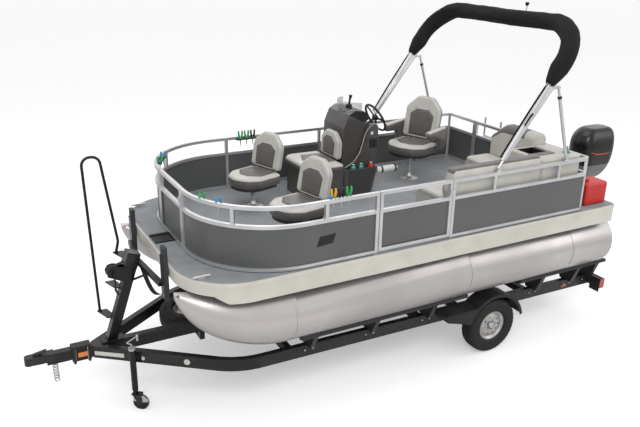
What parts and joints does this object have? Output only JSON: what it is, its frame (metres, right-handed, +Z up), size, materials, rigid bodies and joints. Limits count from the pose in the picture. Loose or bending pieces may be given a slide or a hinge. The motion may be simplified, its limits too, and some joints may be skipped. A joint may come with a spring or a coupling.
{
  "type": "pontoon boat on trailer",
  "caption": "Flat-decked pontoon boat with railed deck, helm, seats, folded canopy and outboard, parked on its single-axle bunk trailer",
  "frame": {"origin": "on the ground below the centre of the overall box, midway between coupler tip and motor", "axes": "+X to the bow and the trailer's coupler, +Y to port, +Z up"},
  "size_m": [7.3431, 2.444, 3.6404],
  "materials": {
    "vinyl_grey": "woven vinyl deck cover",
    "cream": "satin cream",
    "mill_aluminium": "mill finish",
    "pontoon_aluminium": "dull aluminium",
    "rail_aluminium": "anodised satin",
    "panel_grey": "satin grey sheet",
    "trailer_black": "gloss black paint",
    "galvanised": "zinc plate",
    "caster_rubber": "hard rubber",
    "fender_black": "moulded black plastic",
    "carpet": "carpet over timber",
    "lamp_red": "red lens",
    "tyre": "road tyre",
    "wheel_white": "gloss white paint",
    "charcoal_plastic": "moulded charcoal plastic",
    "seat_vinyl": "marine vinyl",
    "console_grey": "moulded charcoal",
    "screen": "tinted acrylic",
    "black_plastic": "black plastic",
    "boot_fabric": "black woven acrylic",
    "motor_grey": "satin grey paint",
    "motor_black": "gloss black cowl",
    "propeller_black": "black paint",
    "tank_red": "red moulded plastic"
  },
  "bodies": {
    "wheel_port": {"tyre_port": "tyre", "rim_port": "wheel_white"},
    "wheel_starboard": {"tyre_starboard": "tyre", "rim_starboard": "wheel_white"},
    "jack": {"jack_leg": "galvanised"},
    "jack_caster": {"jack_wheel": "caster_rubber"},
    "side_gate": {"side_gate": "rail_aluminium"},
    "bow_gate": {"bow_gate": "rail_aluminium"},
    "stern_gate": {"stern_gate": "rail_aluminium"},
    "chair_bow_starboard": {"chair_shell_bow_starboard": "charcoal_plastic", "chair_pads_bow_starboard": "seat_vinyl"},
    "chair_bow_port": {"chair_shell_bow_port": "charcoal_plastic", "chair_pads_bow_port": "seat_vinyl"},
    "chair_helm": {"chair_shell_helm": "charcoal_plastic", "chair_pads_helm": "seat_vinyl"},
    "helm_wheel": {"steering_wheel": "black_plastic"},
    "canopy": {"bimini_bows": "rail_aluminium", "bimini_boot": "boot_fabric"},
    "prop_port": {"bimini_prop_port": "rail_aluminium"},
    "prop_starboard": {"bimini_prop_starboard": "rail_aluminium"},
    "motor_bracket": {"motor_swivel": "motor_grey"},
    "motor": {"motor_cowl": "motor_black", "motor_leg": "motor_grey"},
    "propeller": {"propeller": "propeller_black"},
    "ladder": {"boarding_ladder": "rail_aluminium"},
    "boat_on_trailer": {"axle": "trailer_black", "bimini_feet": "rail_aluminium", "bunk_brackets": "trailer_black", "bunks": "carpet", "chair_pedestals": "mill_aluminium", "console": "console_grey", "console_seat_box": "cream", "console_seat_pads": "seat_vinyl", "coupler": "trailer_black", "cross_channels": "mill_aluminium", "deck": "vinyl_grey", "deck_fittings": "black_plastic", "deck_skirt": "cream", "fence_panels": "panel_grey", "fence_port_aft": "rail_aluminium", "fence_port_bow": "rail_aluminium", "fence_starboard_aft": "rail_aluminium", "fence_starboard_bow": "rail_aluminium", "fenders": "fender_black", "fuel_tank": "tank_red", "lounge_base": "cream", "lounge_pads": "seat_vinyl", "motor_clamp": "motor_grey", "motor_pod": "mill_aluminium", "pontoon_port": "pontoon_aluminium", "pontoon_starboard": "pontoon_aluminium", "safety_chains": "galvanised", "spare_rim": "wheel_white", "spare_tyre": "tyre", "tail_lights": "lamp_red", "trailer_frame": "trailer_black", "winch": "galvanised", "winch_stand": "trailer_black", "windscreen": "screen"}
  },
  "joints": [
    {"name": "wheel_port_spin", "type": "hinge", "parent": "boat_on_trailer", "child": "wheel_port", "pos_m": [-0.93945, 1.018, 0.314], "axis": [0, 1, 0], "continuous": true},
    {"name": "wheel_starboard_spin", "type": "hinge", "parent": "boat_on_trailer", "child": "wheel_starboard", "pos_m": [-0.93945, -1.018, 0.314], "axis": [0, 1, 0], "continuous": true},
    {"name": "jack_swing", "type": "hinge", "parent": "boat_on_trailer", "child": "jack", "pos_m": [2.75534, 0.32183, 0.535], "axis": [0.5999, 0.8001, 0], "range_deg": [0, 90]},
    {"name": "jack_caster_spin", "type": "hinge", "parent": "jack", "child": "jack_caster", "pos_m": [2.73574, 0.37903, 0.075], "axis": [0.5999, 0.8001, 0], "continuous": true},
    {"name": "side_gate_hinge", "type": "hinge", "parent": "boat_on_trailer", "child": "side_gate", "pos_m": [0.67155, 1.145, 1.8], "axis": [0, 0, 1], "range_deg": [0, 90]},
    {"name": "bow_gate_hinge", "type": "hinge", "parent": "boat_on_trailer", "child": "bow_gate", "pos_m": [2.19555, -0.321, 1.8], "axis": [0, 0, 1], "range_deg": [0, 90]},
    {"name": "stern_gate_hinge", "type": "hinge", "parent": "boat_on_trailer", "child": "stern_gate", "pos_m": [-1.93945, -0.646, 1.8], "axis": [0, 0, -1], "range_deg": [0, 90]},
    {"name": "chair_bow_starboard_swivel", "type": "hinge", "parent": "boat_on_trailer", "child": "chair_bow_starboard", "pos_m": [1.17855, -0.505, 1.77], "axis": [0, 0, 1], "continuous": true},
    {"name": "chair_bow_port_swivel", "type": "hinge", "parent": "boat_on_trailer", "child": "chair_bow_port", "pos_m": [1.17055, 0.515, 1.77], "axis": [0, 0, 1], "continuous": true},
    {"name": "chair_helm_swivel", "type": "hinge", "parent": "boat_on_trailer", "child": "chair_helm", "pos_m": [-0.93945, -0.606, 1.85], "axis": [0, 0, 1], "continuous": true},
    {"name": "helm_wheel_turn", "type": "hinge", "parent": "boat_on_trailer", "child": "helm_wheel", "pos_m": [-0.37945, -0.56, 2.33], "axis": [-0.8829, 0, 0.4695], "range_deg": [-450, 450]},
    {"name": "canopy_fold", "type": "hinge", "parent": "boat_on_trailer", "child": "canopy", "pos_m": [-0.71645, 0, 2.15], "axis": [0, 1, 0], "range_deg": [0, 55]},
    {"name": "prop_port_fold", "type": "hinge", "parent": "boat_on_trailer", "child": "prop_port", "pos_m": [-1.63445, 1.15, 2.15], "axis": [0, -1, 0], "range_deg": [0, 100]},
    {"name": "prop_starboard_fold", "type": "hinge", "parent": "boat_on_trailer", "child": "prop_starboard", "pos_m": [-1.63445, -1.15, 2.15], "axis": [0, -1, 0], "range_deg": [0, 100]},
    {"name": "motor_tilt", "type": "hinge", "parent": "boat_on_trailer", "child": "motor_bracket", "pos_m": [-2.96445, 0, 1.5], "axis": [0, 1, 0], "range_deg": [0, 65]},
    {"name": "motor_steer", "type": "hinge", "parent": "motor_bracket", "child": "motor", "pos_m": [-3.11945, 0, 1.262], "axis": [0, 0, 1], "range_deg": [-30, 30]},
    {"name": "propeller_spin", "type": "hinge", "parent": "motor", "child": "propeller", "pos_m": [-3.53945, 0, 0.775], "axis": [1, 0, 0], "continuous": true},
    {"name": "ladder_fold", "type": "hinge", "parent": "boat_on_trailer", "child": "ladder", "pos_m": [-2.49445, -0.82, 1.545], "axis": [0, -1, 0], "range_deg": [0, 170]}
  ],
  "couplings": [
    {"joint": "helm_wheel_turn", "follows": "motor_steer", "ratio": -15}
  ]
}
